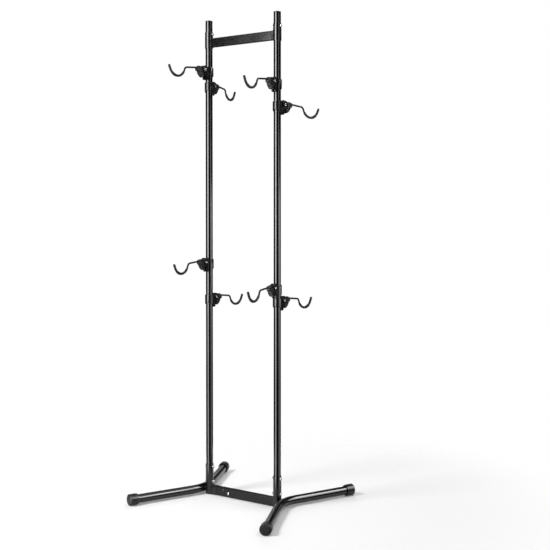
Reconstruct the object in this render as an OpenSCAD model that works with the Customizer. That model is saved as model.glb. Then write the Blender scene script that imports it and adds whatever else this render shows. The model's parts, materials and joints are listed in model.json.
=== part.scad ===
// Free-standing rack that holds four bicycles on eight adjustable hooks.
// Millimetres, +Z up, origin on the floor midway between the poles.
// X runs from the left pole to the right pole, and the front hooks face -Y.

/* [Poles] */
// Height of the rack, floor to the top of the pole caps
rack_h = 2150; // [1950:10:2400]
// Distance between the axes of the two poles
pole_spacing = 372; // [340:2:460]
// Outer diameter of a pole
pole_d = 31.8; // [28:0.1:36]
// Wall of a pole
pole_wall = 1.6; // [1.2:0.1:2.5]
// Height of a pole's lower end above the floor
pole_bottom = 4; // [3:0.5:8]
// Thickness of the cap on top of a pole
pole_cap_t = 3; // [2:0.5:5]
// Depth of the cap's plug inside the pole
pole_plug = 18; // [10:1:30]

/* [Sockets and sleeves] */
// Wall of a base socket and of a top sleeve
sleeve_wall = 2; // [1.5:0.1:3]
// Gap round a pole in its socket and its sleeve
sleeve_gap = 0.3; // [0.2:0.05:0.6]
// Height of a socket's lower end above the floor
socket_bottom = 3; // [2:0.5:6]
// Height of a socket's upper end above the floor
socket_top = 137; // [120:1:170]
// Height of the lower socket bolt above the floor
socket_bolt_low = 59; // [56:1:80]
// Distance of the upper socket bolt below the socket's upper end
socket_bolt_drop = 11.5; // [9:0.5:20]
// Distance of a top sleeve's upper end below the top of the rack
sleeve_drop = 52; // [30:1:90]
// Length of a top sleeve
sleeve_len = 73; // [60:1:100]
// Distance of the sleeve bolt below the sleeve's upper end
sleeve_bolt_drop = 11; // [9:0.5:16]

/* [Feet] */
// Outer diameter of a foot tube
foot_d = 38; // [32:0.5:42]
// Wall of a foot tube
foot_wall = 1.8; // [1.2:0.1:2.5]
// Angle of a leg, turned outward from the front-to-back direction
leg_angle = 24.2; // [16:0.1:30]
// Front-to-back distance between the ends of a foot's two legs
foot_span = 698; // [600:1:800]
// Radius of the bend between the legs, at the tube's axis
foot_bend_r = 165; // [120:1:200]
// Depth of the saddle where a foot tube is welded to its socket
saddle_depth = 1.2; // [0.6:0.1:1.8]
// Wall of a foot cap round the tube
cap_wall = 6; // [3:0.5:8]
// Thickness of a foot cap's closed end
cap_end = 4; // [3:0.5:8]
// Length of a foot cap
cap_len = 40; // [32:1:55]
// Width of the chamfer round a foot cap's closed end
cap_chamfer = 2.5; // [1:0.5:4]
// Depth of the flat underside that a foot cap stands on
cap_flat = 0.3; // [0.2:0.1:1]

/* [Crossbars] */
// Height of a crossbar's section
bar_h = 40; // [30:1:46]
// Thickness of a crossbar's section, front to back
bar_t = 20; // [16:1:26]
// Wall of a crossbar
bar_wall = 1.5; // [1.2:0.1:2]
// Outer corner radius of a crossbar
bar_corner = 2.5; // [1.6:0.1:4]
// Distance of the upper crossbar's top below the top of the rack
top_bar_drop = 81; // [70:1:100]
// Length of the stub that a top sleeve holds out to the upper crossbar
stub_len = 6; // [4:1:15]
// Distance of the vent hole in the upper crossbar from the left pole's axis
vent_x = 38; // [32:1:60]
// Diameter of the vent hole
vent_d = 6; // [4:0.5:8]
// Height of the lower crossbar's underside above the floor
base_bar_bottom = 2; // [2:0.5:8]
// Distance from the left pole's axis to the end of the connector's outer block
connector_block = 47; // [40:1:60]
// Distance from the left pole's axis to the end of the connector's tongue
connector_reach = 130; // [126:1:160]
// Extra height and thickness of the connector's block over the crossbar
connector_lip = 2; // [1:0.5:4]
// Gap between the tongue and the inside of the crossbar
tongue_gap = 0.3; // [0.2:0.05:0.6]
// Distance of the first crossbar screw from the left pole's axis
bar_screw_near = 84; // [70:1:92]
// Distance of the second crossbar screw from the left pole's axis
bar_screw_far = 113; // [104:1:118]
// Height of the first crossbar screw above the crossbar's underside
bar_screw_high = 27; // [20:0.5:29]
// Height of the second crossbar screw above the crossbar's underside
bar_screw_low = 16; // [11:0.5:18]

/* [Frame fasteners] */
// Thread diameter of the bolts in the frame
bolt_d = 6; // [5:0.5:8]
// Diameter of a bolt's domed head
head_d = 12; // [10:0.5:14]
// Height of a bolt's domed head
head_h = 3.6; // [2.5:0.1:5]
// Width of a nut across its flats
nut_flats = 10; // [9:0.5:13]
// Height of a nut
nut_h = 5; // [4:0.5:8]
// Length of thread that shows past a nut
thread_out = 4; // [1:0.5:8]
// Gap round a bolt in the hole of a tube
bolt_gap = 0.2; // [0.1:0.05:0.5]

/* [Bracket places] */
// Distance of the upper left front hook's pivot below the top of the rack
left_upper_drop = 224; // [160:1:300]
// Gap between the upper left pair's collars
left_upper_gap = 10; // [0.3:0.1:60]
// Distance of the upper right front hook's pivot below the top of the rack
right_upper_drop = 304; // [160:1:370]
// Gap between the upper right pair's collars
right_upper_gap = 39; // [0.3:0.1:80]
// Height of the lower left front hook's pivot
left_lower_h = 1060; // [900:1:1300]
// Gap between the lower left pair's collars
left_lower_gap = 106; // [0.3:0.1:200]
// Height of the lower right front hook's pivot
right_lower_h = 957.5; // [850:0.5:1300]
// Gap between the lower right pair's collars
right_lower_gap = 0.3; // [0.3:0.1:200]
// Swivel of the upper left front hook, positive toward the right pole
left_upper_front_angle = -5; // [-30:0.5:30]
// Swivel of the upper left back hook
left_upper_back_angle = -9; // [-30:0.5:30]
// Swivel of the upper right front hook
right_upper_front_angle = 1.5; // [-30:0.5:30]
// Swivel of the upper right back hook
right_upper_back_angle = 13; // [-30:0.5:30]
// Swivel of the lower left front hook
left_lower_front_angle = 1; // [-30:0.5:30]
// Swivel of the lower left back hook
left_lower_back_angle = 0; // [-30:0.5:30]
// Swivel of the lower right front hook
right_lower_front_angle = 5.5; // [-30:0.5:30]
// Swivel of the lower right back hook
right_lower_back_angle = 3.5; // [-30:0.5:30]

/* [Bracket collar] */
// Height of a collar's top above its pivot
collar_up = 12; // [10:0.5:16]
// Depth of a collar's lower edge below its pivot, on the hook's side
collar_down = 44; // [42:0.5:52]
// Depth of a collar's lower edge below its pivot, on the far side
collar_far_down = 22; // [21:0.5:34]
// Thickness of a collar outside its liner
collar_wall = 2.5; // [2:0.1:4]
// Running gap between a pole, a liner and its collar
run_gap = 0.1; // [0.05:0.01:0.1]
// Gap between a pole and a collar above and below the liner
collar_gap = 0.4; // [0.3:0.05:0.8]
// Wall of a liner
liner_wall = 1.4; // [1:0.1:2]
// Distance of a liner's top below its collar's top
liner_drop = 3; // [2:0.5:6]
// Length of a liner
liner_len = 28; // [20:1:29]
// Width of the slit that lets a liner clip round its pole
liner_slit = 3; // [1:0.5:6]
// Chamfer round a collar's edges
collar_chamfer = 1; // [0.5:0.1:1.5]

/* [Bracket cheeks] */
// Distance of the pivot from the collar's outer face
pivot_out = 17; // [16.5:0.1:22]
// Radius of a cheek round the pivot
cheek_r = 18.5; // [17:0.1:19.5]
// Thickness of a cheek
cheek_t = 4; // [3:0.1:4.2]
// Distance that a cheek's outer face stands out past the hub's rim
cheek_proud = 0.5; // [0.2:0.1:2]
// Height of the ears above the pivot
ear_h = 19.5; // [19:0.1:21]
// Gap between the hub and the cheeks
hub_gap = 0.4; // [0.3:0.05:0.6]
// Radius of the boss round the pivot bolt's head
head_boss_r = 10; // [8:0.5:12]
// Height of the boss round the pivot bolt's head
head_boss_h = 2; // [1:0.5:4]
// Radius of the boss round the pivot bolt's nut
nut_boss_r = 14.5; // [11:0.5:16]
// Height of the boss round the pivot bolt's nut
nut_boss_h = 3.5; // [1:0.5:5]
// Wall of both bosses
boss_wall = 2.5; // [1.5:0.1:3]
// Diameter of the pivot bolt's round head
pivot_head_d = 10; // [9:0.5:12]
// Height of the pivot bolt's round head
pivot_head_h = 5.5; // [4:0.5:7]
// Width of the hexagon in the pivot bolt's head
pivot_key = 5; // [3:0.5:6]

/* [Toothed hub] */
// Radius of the toothed rim
hub_r = 38; // [32:0.5:42]
// Width of the toothed rim
hub_w = 18; // [16:0.5:18]
// Radius of the hub's round boss between the cheeks
hub_boss_r = 12; // [9:0.5:14]
// Lowest angle of the toothed rim below straight out
rim_low = 72; // [60:1:74]
// Highest angle of the toothed rim above straight out
rim_high = 12; // [8:1:13]
// Angle from tooth to tooth
tooth_pitch = 13; // [10:1:20]
// Radius of the groove between two teeth
groove_r = 2.6; // [1.5:0.1:3.2]
// Depth of the pocket in each side of the rim
pocket_depth = 1.2; // [0.5:0.1:2]
// Length of the nose that grips the wire, past the rim
nose_len = 22; // [12:1:30]
// Height of the nose
nose_h = 20; // [14:0.5:24]
// Width of the nose
nose_w = 15; // [12:0.5:17]

/* [Hook wire] */
// Diameter of the hook's wire
wire_d = 8; // [6:0.5:8.5]
// Height of the wire's axis above the pivot, level with the pivot
wire_rise = 9.3; // [9:0.1:10]
// Fall of the straight shank, in degrees
shank_fall = 5.4; // [2:0.1:10]
// Distance from the pivot to the bend at the shank's end
shank_len = 117.5; // [100:0.5:150]
// Radius of that bend at the wire's axis
shank_bend_r = 16; // [10:0.5:18]
// Depth of the cradle below that bend, at the wire's axis
cradle_depth = 42.7; // [40:0.1:60]
// Radius of the round cradle at the wire's axis
cradle_r = 48; // [35:0.5:50]
// Slope of the cradle's inner side, in degrees
inner_slope = 70; // [62:0.5:75]
// Slope of the cradle's outer side, in degrees
outer_slope = 63.5; // [40:0.5:80]
// Length of the straight tip past the cradle
tip_len = 14.5; // [8:0.5:30]
// Length of wire held inside the hub, measured back from the nose's end
wire_grip_len = 45; // [25:1:46]

/* [Rubber grip] */
// Thickness of the rubber over the wire
rubber_t = 1.3; // [0.8:0.1:2.5]
// Angle before the cradle's lowest point where the rubber starts
rubber_start = 55; // [30:1:64]
// Number of ribs on the rubber
rib_count = 5; // [1:1:8]
// Angle from rib to rib
rib_pitch = 6; // [4:0.5:7]
// Angle past the cradle's lowest point of the first rib
rib_start = 12; // [4:1:16]
// Height of a rib over the rubber
rib_h = 0.9; // [0.4:0.1:1.5]
// Width of a rib
rib_w = 2; // [1:0.1:2.5]

/* [Hidden] */
$fn = 64;

paint = "#1d1e20";
satin = "#2b2c2e";
nylon = "#232426";
rubber = "#18181a";
zinc = "#c9ccd0";

left = -1;
right = 1;
front = -1;
back = 1;
clear = 1;
thin_gap = 0.05;
// A bend is this much fatter than the straight runs that lap into it
wire_swell = 0.05;
wire_lap = 0.7;
foot_swell = 0.15;
foot_lap = 3;

pole_r = pole_d / 2;
sleeve_ri = pole_r + sleeve_gap;
sleeve_ro = sleeve_ri + sleeve_wall;
bolt_r = bolt_d / 2;
bolt_hole_r = bolt_r + bolt_gap;
foot_r = foot_d / 2;
cap_r = foot_r + thin_gap + cap_wall;
foot_axis_h = cap_r - cap_flat;
apex_x = sleeve_ro + foot_r - saddle_depth;
vertex_x = apex_x - foot_bend_r * (1 / cos(leg_angle) - 1);
leg_len = foot_span / 2 / cos(leg_angle);
bend_tangent = foot_bend_r * tan(leg_angle);
sleeve_top = rack_h - sleeve_drop;
sleeve_bottom = sleeve_top - sleeve_len;
left_upper_h = rack_h - left_upper_drop;
right_upper_h = rack_h - right_upper_drop;
socket_bolt_high = socket_top - socket_bolt_drop;
sleeve_bolt_h = sleeve_top - sleeve_bolt_drop;
top_bar_top = rack_h - top_bar_drop;
base_bar_mid = base_bar_bottom + bar_h / 2;
bar_inner_corner = max(bar_corner - bar_wall, 0.5);
tongue_h = bar_h - 2 * (bar_wall + tongue_gap);
tongue_t = bar_t - 2 * (bar_wall + tongue_gap);

liner_ri = pole_r + run_gap;
liner_ro = liner_ri + liner_wall;
groove_ri = liner_ro + run_gap;
collar_r = groove_ri + collar_wall;
collar_h = collar_up + collar_down;
liner_top = collar_up - liner_drop;
pivot_x = collar_r + pivot_out;
cheek_face = hub_w / 2 + cheek_proud;
slot_w = 2 * (cheek_face - cheek_t);
hub_tongue_w = slot_w - 2 * hub_gap;
rim_inner_r = cheek_r + 2 * hub_gap;
tilt_down = 20;
tilt_up = 75;
web_front = -3.5;

wire_r = wire_d / 2;
rubber_r = wire_r + rubber_t;
nose_end = hub_r + nose_len;
bend_at = [shank_len, wire_rise - tan(shank_fall) * shank_len];
leg_down = (cradle_depth - cradle_r * (1 - cos(inner_slope))) / sin(inner_slope);
cradle_start = bend_at + leg_down * [cos(inner_slope), -sin(inner_slope)];
cradle_mid = cradle_start + cradle_r * [sin(inner_slope), cos(inner_slope)];
cradle_end = cradle_mid + cradle_r * [sin(outer_slope), -cos(outer_slope)];
bend_turn = inner_slope - shank_fall;
bend_tan = shank_bend_r * tan(bend_turn / 2);
shank_end = bend_at - bend_tan * [cos(shank_fall), -sin(shank_fall)];
bend_mid = shank_end - shank_bend_r * [sin(shank_fall), cos(shank_fall)];
bend_end = bend_at + bend_tan * [cos(inner_slope), -sin(inner_slope)];

// Pole, side of the rack, pivot height, swivel, and the side of the bolt's head
BRACKETS = [
  [left, front, left_upper_h, left_upper_front_angle, 1],
  [left, back, left_upper_h - collar_h - left_upper_gap, left_upper_back_angle, -1],
  [right, front, right_upper_h, right_upper_front_angle, 1],
  [right, back, right_upper_h - collar_h - right_upper_gap, right_upper_back_angle, 1],
  [left, front, left_lower_h, left_lower_front_angle, 1],
  [left, back, left_lower_h - collar_h - left_lower_gap, left_lower_back_angle, -1],
  [right, front, right_lower_h, right_lower_front_angle, 1],
  [right, back, right_lower_h - collar_h - right_lower_gap, right_lower_back_angle, -1]
];

// Ring between two radii, standing on z = 0
module ring(outer, inner, h) {
  difference() {
    cylinder(r = outer, h = h);
    translate([0, 0, -clear]) cylinder(r = inner, h = h + 2 * clear);
  }
}

// Turns an outline drawn in x and z into a slab centred on y = 0
module slab(w) {
  rotate([90, 0, 0]) linear_extrude(height = w, center = true) children();
}

// Wedge between two angles, for cutting sectors
module wedge(from, to, reach) {
  mid = (from + to) / 2;
  polygon([
    [0, 0],
    reach * [cos(from), sin(from)],
    reach * [cos((from + mid) / 2), sin((from + mid) / 2)] * 1.2,
    reach * [cos(mid), sin(mid)] * 1.2,
    reach * [cos((to + mid) / 2), sin((to + mid) / 2)] * 1.2,
    reach * [cos(to), sin(to)]
  ]);
}

// Rectangle with round corners, centred
module round_rect(w, h, r) {
  square([w - 2 * r, h], center = true);
  square([w, h - 2 * r], center = true);
  for (x = [-1, 1], y = [-1, 1])
    translate([x * (w / 2 - r), y * (h / 2 - r)]) circle(r = r);
}

// Part of a round bar bent in the x-z plane, from one angle to another
module bent_bar(mid, bend_r, from, to, r) {
  translate([mid[0], 0, mid[1]]) rotate([90, 0, 0]) rotate([0, 0, from])
    rotate_extrude(angle = to - from) translate([bend_r, 0]) circle(r = r + wire_swell);
}

// Straight round bar in the x-z plane, falling by an angle, that laps into the
// bends before and after it
module straight_bar(start, fall, len, r, before = 0, after = 0) {
  translate([start[0], 0, start[1]]) rotate([0, 90 + fall, 0])
    translate([0, 0, -before]) cylinder(r = r, h = before + len + after);
}

// Straight round bar with a dome on its free end
module domed_bar(start, fall, len, r, before) {
  translate([start[0], 0, start[1]]) rotate([0, 90 + fall, 0]) rotate_extrude() {
    translate([0, -before]) square([r, before + len]);
    translate([0, len]) intersection() {
      circle(r = r);
      square(r);
    }
  }
}

// Hexagonal nut on the z axis, standing on z = 0
module nut() {
  difference() {
    cylinder(d = nut_flats / cos(30), h = nut_h, $fn = 6);
    translate([0, 0, -clear])
      cylinder(r = bolt_r + thin_gap, h = nut_h + 2 * clear);
  }
}

// Domed bolt along z, its head's seat at z = 0 and its shank going down
module dome_bolt(grip) {
  shank = grip + 2 * thin_gap + nut_h + thread_out;
  translate([0, 0, thin_gap]) rotate_extrude() {
    intersection() {
      square([head_d / 2, head_h]);
      translate([0, head_h - head_d]) circle(r = head_d);
    }
  }
  translate([0, 0, thin_gap - shank]) cylinder(r = bolt_r, h = shank + clear / 2);
}

// Bolt and nut through a thickness that is centred on the origin
module bolt_and_nut(grip) {
  translate([0, 0, grip / 2]) dome_bolt(grip);
  translate([0, 0, -grip / 2 - thin_gap - nut_h]) nut();
}

// A tube's place on the left or the right
module at_pole(side) {
  translate([side * pole_spacing / 2, 0, 0]) children();
}

// Hole along x for a frame bolt
module bolt_hole_x(z, r) {
  translate([0, 0, z]) rotate([0, 90, 0])
    cylinder(r = r, h = 2 * sleeve_ro + 2 * clear, center = true);
}

// Straight pole with its holes for the socket and sleeve bolts
module pole(side) {
  color(paint) at_pole(side) difference() {
    translate([0, 0, pole_bottom])
      ring(pole_r, pole_r - pole_wall, rack_h - pole_cap_t - pole_bottom);
    for (z = [socket_bolt_low, socket_bolt_high, sleeve_bolt_h])
      bolt_hole_x(z, bolt_hole_r);
  }
}

// Round cap pressed into the top of a pole, its upper edge chamfered
module pole_cap(side) {
  plug_r = pole_r - pole_wall - thin_gap;
  edge = pole_cap_t / 2;
  at_pole(side) translate([0, 0, rack_h]) rotate_extrude() polygon([
    [0, 0], [pole_r - edge, 0], [pole_r, -edge], [pole_r, -pole_cap_t + thin_gap],
    [plug_r, -pole_cap_t + thin_gap], [plug_r, -pole_cap_t - pole_plug + 1],
    [plug_r - 1, -pole_cap_t - pole_plug], [0, -pole_cap_t - pole_plug]
  ]);
}

module pole_caps() {
  color(rubber) for (side = [left, right]) pole_cap(side);
}

// Vertical tube at the foot of a pole, with its two bolt holes
module socket_tube() {
  difference() {
    translate([0, 0, socket_bottom])
      ring(sleeve_ro, sleeve_ri, socket_top - socket_bottom);
    for (z = [socket_bolt_low, socket_bolt_high]) bolt_hole_x(z, bolt_hole_r);
  }
}

// Section of the lower crossbar's connector, in y and z
module bar_section(h, t, r) {
  rotate([90, 0, 90]) linear_extrude(height = connector_reach)
    round_rect(t, h, r);
}

// Block and hollow tongue that the left socket holds out to the lower crossbar
module connector() {
  block_h = bar_h + connector_lip;
  block_t = bar_t + connector_lip;
  difference() {
    union() {
      translate([0, 0, base_bar_mid]) bar_section(tongue_h, tongue_t, bar_corner / 2);
      intersection() {
        translate([0, 0, base_bar_mid]) bar_section(block_h, block_t, bar_corner);
        translate([0, 0, base_bar_mid]) rotate([90, 0, 0])
          cylinder(r = connector_block, h = 2 * block_t, center = true);
      }
    }
    translate([connector_block, 0, base_bar_mid])
      bar_section(tongue_h - 2 * sleeve_wall, tongue_t - 2 * sleeve_wall, bar_corner / 4);
    translate([0, 0, -clear]) cylinder(r = sleeve_ri + sleeve_wall / 2, h = 2 * bar_h);
    for (s = [[bar_screw_near, bar_screw_high], [bar_screw_far, bar_screw_low]])
      translate([s[0], 0, base_bar_bottom + s[1]]) rotate([90, 0, 0])
        cylinder(r = bolt_hole_r, h = 2 * bar_t, center = true);
  }
}

module left_socket() {
  color(paint) at_pole(left) {
    socket_tube();
    connector();
  }
}

module right_socket() {
  color(paint) at_pole(right) socket_tube();
}

// Bent tube of a foot: two legs and the bend between them, in the floor's plane
module foot_path(r, extra) {
  translate([vertex_x + foot_bend_r / cos(leg_angle), 0, foot_axis_h])
    rotate([0, 0, 180 - leg_angle])
      rotate_extrude(angle = 2 * leg_angle) translate([foot_bend_r, 0])
        circle(r = r + foot_swell);
  for (y = [-1, 1])
    translate([vertex_x, 0, foot_axis_h]) rotate([0, 0, y * (90 - leg_angle)])
      translate([bend_tangent - foot_lap, 0, 0]) rotate([0, 90, 0])
        cylinder(r = r, h = leg_len - bend_tangent + foot_lap - cap_end - thin_gap + extra);
}

// Moves a piece drawn on the right-hand foot to either side
module at_foot(side) {
  at_pole(side) mirror([side == left ? 1 : 0, 0, 0]) children();
}

module foot(side) {
  color(paint) at_foot(side) difference() {
    foot_path(foot_r, 0);
    foot_path(foot_r - foot_wall, clear);
    cylinder(r = sleeve_ro + thin_gap, h = 2 * foot_axis_h);
  }
}

// Cap over a leg's end, a revolve with a raised band at its mouth
module foot_cap() {
  band = cap_len / 5;
  rotate([0, -90, 0]) rotate_extrude() polygon([
    [0, 0], [cap_r - cap_chamfer, 0], [cap_r, cap_chamfer],
    [cap_r, cap_len - band], [cap_r - 1, cap_len - band + 1], [cap_r - 1, cap_len - 1],
    [cap_r - 2, cap_len], [foot_r + thin_gap, cap_len], [foot_r + thin_gap, cap_end],
    [0, cap_end]
  ]);
}

module foot_caps() {
  color(rubber) for (side = [left, right], y = [-1, 1]) at_foot(side)
    difference() {
      translate([vertex_x, 0, foot_axis_h]) rotate([0, 0, y * (90 - leg_angle)])
        translate([leg_len, 0, 0]) foot_cap();
      translate([0, -foot_span, -foot_span]) cube([foot_span, 2 * foot_span, foot_span]);
    }
}

// Hollow crossbar along x between two places
module crossbar(from, to, mid_h) {
  translate([from, 0, mid_h]) rotate([90, 0, 90]) difference() {
    linear_extrude(height = to - from) round_rect(bar_t, bar_h, bar_corner);
    translate([0, 0, -clear]) linear_extrude(height = to - from + 2 * clear)
      round_rect(bar_t - 2 * bar_wall, bar_h - 2 * bar_wall, bar_inner_corner);
  }
}

// Lower crossbar: its left end follows the connector's round block, and its
// right end is coped round the right socket
module base_bar() {
  color(satin) difference() {
    crossbar(-pole_spacing / 2 + connector_block / 2, pole_spacing / 2, base_bar_mid);
    translate([-pole_spacing / 2, 0, base_bar_mid]) rotate([90, 0, 0])
      cylinder(r = connector_block + thin_gap, h = 2 * bar_t, center = true);
    at_pole(right) cylinder(r = sleeve_ro + thin_gap, h = 2 * bar_h);
    for (s = [[bar_screw_near, bar_screw_high], [bar_screw_far, bar_screw_low]])
      translate([s[0] - pole_spacing / 2, 0, base_bar_bottom + s[1]]) rotate([90, 0, 0])
        cylinder(r = bolt_hole_r, h = 2 * bar_t, center = true);
  }
}

// Upper crossbar between the stubs of the two sleeves, with its vent hole
module top_bar() {
  half = pole_spacing / 2 - sleeve_ro - stub_len - thin_gap;
  mid_h = top_bar_top - bar_h / 2;
  color(satin) difference() {
    crossbar(-half, half, mid_h);
    translate([vent_x - pole_spacing / 2, -bar_t, mid_h]) rotate([-90, 0, 0])
      cylinder(d = vent_d, h = bar_t);
  }
}

// Sleeve over the top of a pole with its stub toward the crossbar
module top_sleeve() {
  difference() {
    union() {
      translate([0, 0, sleeve_bottom]) cylinder(r = sleeve_ro, h = sleeve_len);
      translate([0, 0, top_bar_top - bar_h / 2]) rotate([90, 0, -90])
        linear_extrude(height = sleeve_ro + stub_len) round_rect(bar_t, bar_h, bar_corner);
    }
    translate([0, 0, sleeve_bottom - bar_h])
      cylinder(r = sleeve_ri, h = sleeve_len + 2 * bar_h);
    bolt_hole_x(sleeve_bolt_h, bolt_hole_r);
  }
}

module top_sleeves() {
  color(paint) for (side = [left, right]) at_foot(side) top_sleeve();
}

// All bolts and nuts of the frame: heads outboard on the poles, and to the
// front on the lower crossbar
module frame_fasteners() {
  color(zinc) {
    for (side = [left, right], z = [socket_bolt_low, socket_bolt_high, sleeve_bolt_h])
      at_foot(side) translate([0, 0, z]) rotate([0, 90, 0]) bolt_and_nut(2 * sleeve_ro);
    for (s = [[bar_screw_near, bar_screw_high], [bar_screw_far, bar_screw_low]])
      translate([s[0] - pole_spacing / 2, 0, base_bar_bottom + s[1]]) rotate([90, 0, 0])
        bolt_and_nut(bar_t);
  }
}

// A bracket's place: x points out along its hook, z = 0 is its pivot's height
module at_bracket(i) {
  b = BRACKETS[i];
  translate([b[0] * pole_spacing / 2, 0, b[2]])
    rotate([0, 0, b[1] == front ? b[3] - 90 : 90 - b[3]]) children();
}

// Split bush that slides on the pole inside the collar
module liner(i) {
  color(rubber) at_bracket(i) difference() {
    translate([0, 0, liner_top - liner_len]) ring(liner_ro, liner_ri, liner_len);
    translate([-2 * liner_ro, -liner_slit / 2, -collar_h])
      cube([2 * liner_ro, liner_slit, 2 * collar_h]);
  }
}

// Outline of the cheeks, from the collar's wall to the round end at the pivot
module cheek_outline() {
  translate([pivot_x, 0]) circle(r = cheek_r);
  polygon([
    [collar_r / 2, collar_up], [collar_r, collar_up + 1],
    [collar_r + 4, ear_h - 1], [collar_r + 6, ear_h],
    [pivot_x - 4, ear_h], [pivot_x - 1, cheek_r - 1],
    [pivot_x, 0], [pivot_x + web_front, -cheek_r],
    [pivot_x + web_front, 3 - collar_down], [pivot_x + web_front - 3, -collar_down],
    [collar_r / 2, -collar_down]
  ]);
}

// Collar with chamfered edges, its lower edge cut to a slant on the far side
module collar_body() {
  slant = atan2(collar_down - collar_far_down, 2 * collar_r);
  difference() {
    rotate_extrude() polygon([
      [0, -collar_down], [collar_r - collar_chamfer, -collar_down],
      [collar_r, collar_chamfer - collar_down], [collar_r, collar_up - collar_chamfer],
      [collar_r - collar_chamfer, collar_up], [0, collar_up]
    ]);
    translate([collar_r, 0, -collar_down]) rotate([0, slant, 0])
      translate([-4 * collar_r, -2 * collar_r, -collar_h])
        cube([4 * collar_r, 4 * collar_r, collar_h]);
  }
}

// Round boss on a cheek, hollow for a bolt's head or nut
module cheek_boss(side, r, h) {
  translate([pivot_x, side * (cheek_face - clear), 0]) rotate([-side * 90, 0, 0])
    difference() {
      cylinder(r = r, h = h + clear);
      translate([0, 0, clear]) cylinder(r = r - boss_wall, h = h + clear);
    }
}

// Moulded clamp of a bracket: collar, two cheeks and the bosses on them
module clamp(i) {
  head_side = BRACKETS[i][4];
  color(nylon) at_bracket(i) difference() {
    union() {
      collar_body();
      slab(2 * cheek_face) cheek_outline();
      cheek_boss(head_side, head_boss_r, head_boss_h);
      cheek_boss(-head_side, nut_boss_r, nut_boss_h);
    }
    translate([collar_r + clear, -slot_w / 2, -collar_h])
      cube([2 * pivot_x, slot_w, 2 * collar_h]);
    translate([pivot_x, 0, 0]) slab(2 * hub_w) difference() {
      intersection() {
        circle(r = hub_r + hub_gap);
        wedge(-rim_low - tilt_down - 3, rim_high + tilt_up + 3, 2 * hub_r);
      }
      circle(r = cheek_r + hub_gap);
    }
    translate([0, 0, -collar_h]) cylinder(r = pole_r + collar_gap, h = 2 * collar_h);
    translate([0, 0, liner_top - liner_len - thin_gap])
      cylinder(r = groove_ri, h = liner_len + 2 * thin_gap);
    translate([pivot_x, 0, 0]) rotate([90, 0, 0])
      cylinder(r = bolt_r + thin_gap, h = 4 * cheek_face, center = true);
  }
}

// Pivot bolt with a round socket head, and its nut
module pivot_bolt(i) {
  head_side = BRACKETS[i][4];
  seat = cheek_face + thin_gap;
  color(zinc) at_bracket(i) translate([pivot_x, 0, 0]) rotate([-90 * head_side, 0, 0]) {
    difference() {
      union() {
        translate([0, 0, seat]) rotate_extrude() polygon([
          [0, 0], [pivot_head_d / 2, 0], [pivot_head_d / 2, pivot_head_h - 0.6],
          [pivot_head_d / 2 - 0.6, pivot_head_h], [0, pivot_head_h]
        ]);
        translate([0, 0, -seat - nut_h - 1]) cylinder(r = bolt_r, h = 2 * seat + nut_h + 1.5);
      }
      translate([0, 0, seat + pivot_head_h / 2])
        cylinder(d = pivot_key / cos(30), h = pivot_head_h, $fn = 6);
    }
    translate([0, 0, -seat - nut_h]) nut();
  }
}

// Places the tilting pieces of a bracket: the origin is the pivot's axis
module at_pivot(i) {
  at_bracket(i) translate([pivot_x, 0, 0]) children();
}

// Sector of the hub's rim between two radii
module rim_sector(outer, inner, low, high) {
  intersection() {
    difference() {
      circle(r = outer);
      circle(r = inner);
    }
    wedge(-low, high, 2 * outer);
  }
}

// Nose outline: a block round the wire with a rounded end
module nose_outline() {
  corner = 5;
  translate([hub_r - 5, -nose_h / 2 + 0.5]) square([nose_len + 5 - corner, nose_h]);
  translate([nose_end - corner, -nose_h / 2 + 0.5 + corner])
    square([corner, nose_h - 2 * corner]);
  for (z = [-nose_h / 2 + 0.5 + corner, nose_h / 2 + 0.5 - corner])
    translate([nose_end - corner, z]) circle(r = corner);
}

// Toothed hub: tongue between the cheeks, toothed rim outside them, and nose
module hub(i) {
  color(nylon) at_pivot(i) difference() {
    union() {
      slab(hub_tongue_w) {
        circle(r = hub_boss_r);
        intersection() {
          circle(r = hub_r - 1);
          wedge(-rim_low, rim_high, 2 * hub_r);
        }
        square([hub_r, wire_rise + wire_r + 0.6]);
      }
      slab(hub_w) rim_sector(hub_r, rim_inner_r, rim_low, rim_high);
      slab(nose_w) nose_outline();
    }
    for (a = [-rim_low + tooth_pitch / 2 : tooth_pitch : -nose_h / 2])
      rotate([0, -a, 0]) translate([hub_r + 0.3, 0, 0]) rotate([90, 0, 0])
        cylinder(r = groove_r, h = 2 * hub_w, center = true);
    for (y = [-1, 1])
      translate([0, y * (hub_w / 2), 0]) slab(2 * pocket_depth)
        rim_sector(hub_r - 5, rim_inner_r + 3, rim_low - 8, rim_high - 8);
    rotate([90, 0, 0]) cylinder(r = bolt_r + thin_gap, h = 2 * hub_w, center = true);
    straight_bar(
      [nose_end - wire_grip_len, wire_rise - tan(shank_fall) * (nose_end - wire_grip_len)],
      shank_fall, 2 * nose_end, wire_r + thin_gap);
  }
}

// Bent wire of a hook, from inside the hub to its tip
module hook(i) {
  start_x = nose_end - wire_grip_len + thin_gap;
  start = [start_x, wire_rise - tan(shank_fall) * start_x];
  color(paint) at_pivot(i) {
    straight_bar(start, shank_fall, norm(shank_end - start), wire_r, 0, wire_lap);
    bent_bar(bend_mid, shank_bend_r, 90 - inner_slope, 90 - shank_fall, wire_r);
    straight_bar(bend_end, inner_slope, norm(cradle_start - bend_end), wire_r,
      wire_lap, wire_lap);
    bent_bar(cradle_mid, cradle_r, 270 - inner_slope, 270 + outer_slope, wire_r);
    straight_bar(cradle_end, -outer_slope, tip_len, wire_r, wire_lap, 0);
  }
}

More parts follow.
